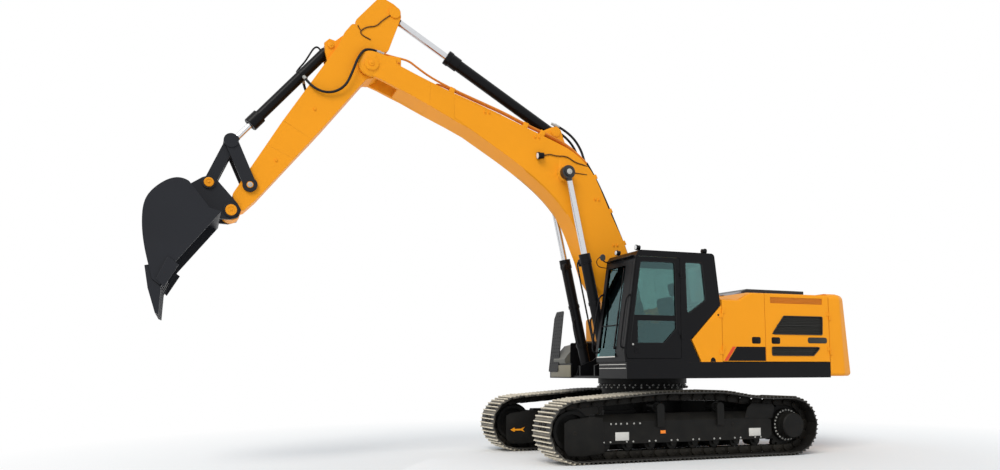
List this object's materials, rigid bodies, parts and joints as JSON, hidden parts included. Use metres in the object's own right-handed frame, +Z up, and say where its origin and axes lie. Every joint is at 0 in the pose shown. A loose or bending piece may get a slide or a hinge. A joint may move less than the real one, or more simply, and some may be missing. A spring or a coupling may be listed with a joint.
{
  "type": "crawler excavator",
  "caption": "Tracked hydraulic excavator: slewing upper with cab, engine deck and counterweight; gooseneck boom, arm and bucket worked by cylinders, on two crawler tracks.",
  "frame": {"origin": "on the ground under the slewing axis", "axes": "+X forward along the boom, +Y to the cab side, +Z up"},
  "size_m": [11.4842, 3.13, 7.2],
  "materials": {
    "yellow_paint": "gloss enamel",
    "black_paint": "satin enamel",
    "frame_paint": "satin enamel",
    "track_steel": "worn bare steel",
    "dark_steel": "matt",
    "chrome": "polished",
    "glass": "green tint",
    "seat_fabric": "woven",
    "console_plastic": "grained",
    "grey_paint": "satin enamel"
  },
  "bodies": {
    "undercarriage": {"track_left": "track_steel", "track_right": "track_steel", "track_frame_left": "frame_paint", "track_frame_right": "frame_paint", "idlers": "frame_paint", "sprockets": "frame_paint", "final_drives": "frame_paint", "track_rollers": "frame_paint", "carrier_rollers": "frame_paint", "car_body": "frame_paint", "slew_ring_lower": "dark_steel"},
    "upper": {"slew_ring_upper": "dark_steel", "revolving_frame": "black_paint", "side_sills": "black_paint", "counterweight": "yellow_paint", "engine": "dark_steel", "engine_housing": "yellow_paint", "corner_panel": "yellow_paint", "fuel_tank": "yellow_paint", "hydraulic_tank": "yellow_paint", "right_panel": "yellow_paint", "tool_box": "grey_paint", "step_guard": "black_paint", "cab_frame": "black_paint", "cab_glass": "glass", "seat": "seat_fabric", "consoles": "console_plastic", "cab_lamps": "black_paint"},
    "cab_door": {"cab_door": "black_paint", "cab_door_glass": "glass"},
    "front_service_door": {"front_service_door": "yellow_paint"},
    "rear_service_door": {"rear_service_door": "yellow_paint", "door_grilles": "dark_steel"},
    "pump_door": {"pump_door": "yellow_paint"},
    "engine_hood": {"engine_hood": "black_paint"},
    "tool_box_lid": {"tool_box_lid": "grey_paint"},
    "boom": {"boom": "yellow_paint", "boom_pipes": "yellow_paint", "boom_lamp": "black_paint"},
    "boom_barrels": {"boom_barrels": "black_paint"},
    "boom_rods": {"boom_rods": "chrome"},
    "arm": {"arm": "yellow_paint"},
    "arm_barrel": {"arm_barrel": "black_paint"},
    "arm_rod": {"arm_rod": "chrome"},
    "bucket_barrel": {"bucket_barrel": "black_paint"},
    "bucket_rod": {"bucket_rod": "chrome"},
    "rocker": {"rocker": "black_paint"},
    "bucket_link": {"bucket_link": "black_paint"},
    "bucket": {"bucket": "black_paint", "bucket_teeth": "dark_steel"}
  },
  "joints": [
    {"name": "slew", "type": "hinge", "parent": "undercarriage", "child": "upper", "pos_m": [0, 0, 1.16], "axis": [0, 0, 1], "continuous": true},
    {"name": "cab_door_swing", "type": "hinge", "parent": "upper", "child": "cab_door", "pos_m": [0.118, 1.502, 2.3], "axis": [0, 0, -1], "range_deg": [-160, 0]},
    {"name": "front_service_door_swing", "type": "hinge", "parent": "upper", "child": "front_service_door", "pos_m": [-0.64, 1.502, 2], "axis": [0, 0, -1], "range_deg": [0, 110]},
    {"name": "rear_service_door_swing", "type": "hinge", "parent": "upper", "child": "rear_service_door", "pos_m": [-2.774, 1.502, 2], "axis": [0, 0, 1], "range_deg": [0, 110]},
    {"name": "pump_door_swing", "type": "hinge", "parent": "upper", "child": "pump_door", "pos_m": [-2.774, -1.502, 2], "axis": [0, 0, -1], "range_deg": [0, 110]},
    {"name": "engine_hood_lift", "type": "hinge", "parent": "upper", "child": "engine_hood", "pos_m": [-1.231, 0, 2.655], "axis": [0, 1, 0], "range_deg": [0, 65]},
    {"name": "tool_box_lid_lift", "type": "hinge", "parent": "upper", "child": "tool_box_lid", "pos_m": [0.364, -1.045, 1.904], "axis": [0, -1, 0], "range_deg": [0, 80]},
    {"name": "boom_lift", "type": "hinge", "parent": "upper", "child": "boom", "pos_m": [0.15, 0, 1.95], "axis": [0, -1, 0], "range_deg": [-77, 11.5]},
    {"name": "boom_barrel_tilt", "type": "hinge", "parent": "upper", "child": "boom_barrels", "pos_m": [0.86, 0, 1.4], "axis": [0, -1, 0], "range_deg": [-80, 12]},
    {"name": "boom_rod_slide", "type": "slide", "parent": "boom_barrels", "child": "boom_rods", "axis": [0.2094, 0, 0.9778], "range_m": [-1.14, 0.175]},
    {"name": "arm_swing", "type": "hinge", "parent": "boom", "child": "arm", "pos_m": [4.795, 0, 6.096], "axis": [0, 1, 0], "range_deg": [-60, 55]},
    {"name": "arm_barrel_tilt", "type": "hinge", "parent": "boom", "child": "arm_barrel", "pos_m": [1.657, 0, 5.37], "axis": [0, 1, 0], "range_deg": [-3, 3]},
    {"name": "arm_rod_slide", "type": "slide", "parent": "arm_barrel", "child": "arm_rod", "axis": [0.8625, 0, 0.506], "range_m": [-0.88, 0.81]},
    {"name": "bucket_curl", "type": "hinge", "parent": "arm", "child": "bucket", "pos_m": [6.762, 0, 3.675], "axis": [0, 1, 0], "range_deg": [-30, 125]},
    {"name": "rocker_swing", "type": "hinge", "parent": "arm", "child": "rocker", "pos_m": [6.513, 0, 4.073], "axis": [0, 1, 0], "range_deg": [-29, 93]},
    {"name": "link_swing", "type": "hinge", "parent": "rocker", "child": "bucket_link", "pos_m": [6.791, 0, 4.702], "axis": [0, 1, 0], "range_deg": [-53, 17]},
    {"name": "bucket_barrel_tilt", "type": "hinge", "parent": "arm", "child": "bucket_barrel", "pos_m": [5.4, 0, 6.344], "axis": [0, 1, 0], "range_deg": [-2, 4]},
    {"name": "bucket_rod_slide", "type": "slide", "parent": "bucket_barrel", "child": "bucket_rod", "axis": [0.6464, 0, -0.763], "range_m": [-0.32, 1.03]}
  ],
  "couplings": [
    {"joint": "boom_barrel_tilt", "follows": "boom_lift", "ratio": 1.026},
    {"joint": "boom_rod_slide", "follows": "boom_lift", "m_per_rad": 0.843},
    {"joint": "arm_barrel_tilt", "follows": "arm_swing", "ratio": 0.03},
    {"joint": "arm_rod_slide", "follows": "arm_swing", "m_per_rad": 0.83},
    {"joint": "rocker_swing", "follows": "bucket_curl", "ratio": 0.731},
    {"joint": "link_swing", "follows": "bucket_curl", "ratio": -0.406},
    {"joint": "bucket_barrel_tilt", "follows": "bucket_curl", "ratio": 0.0185},
    {"joint": "bucket_rod_slide", "follows": "bucket_curl", "m_per_rad": 0.4645}
  ]
}
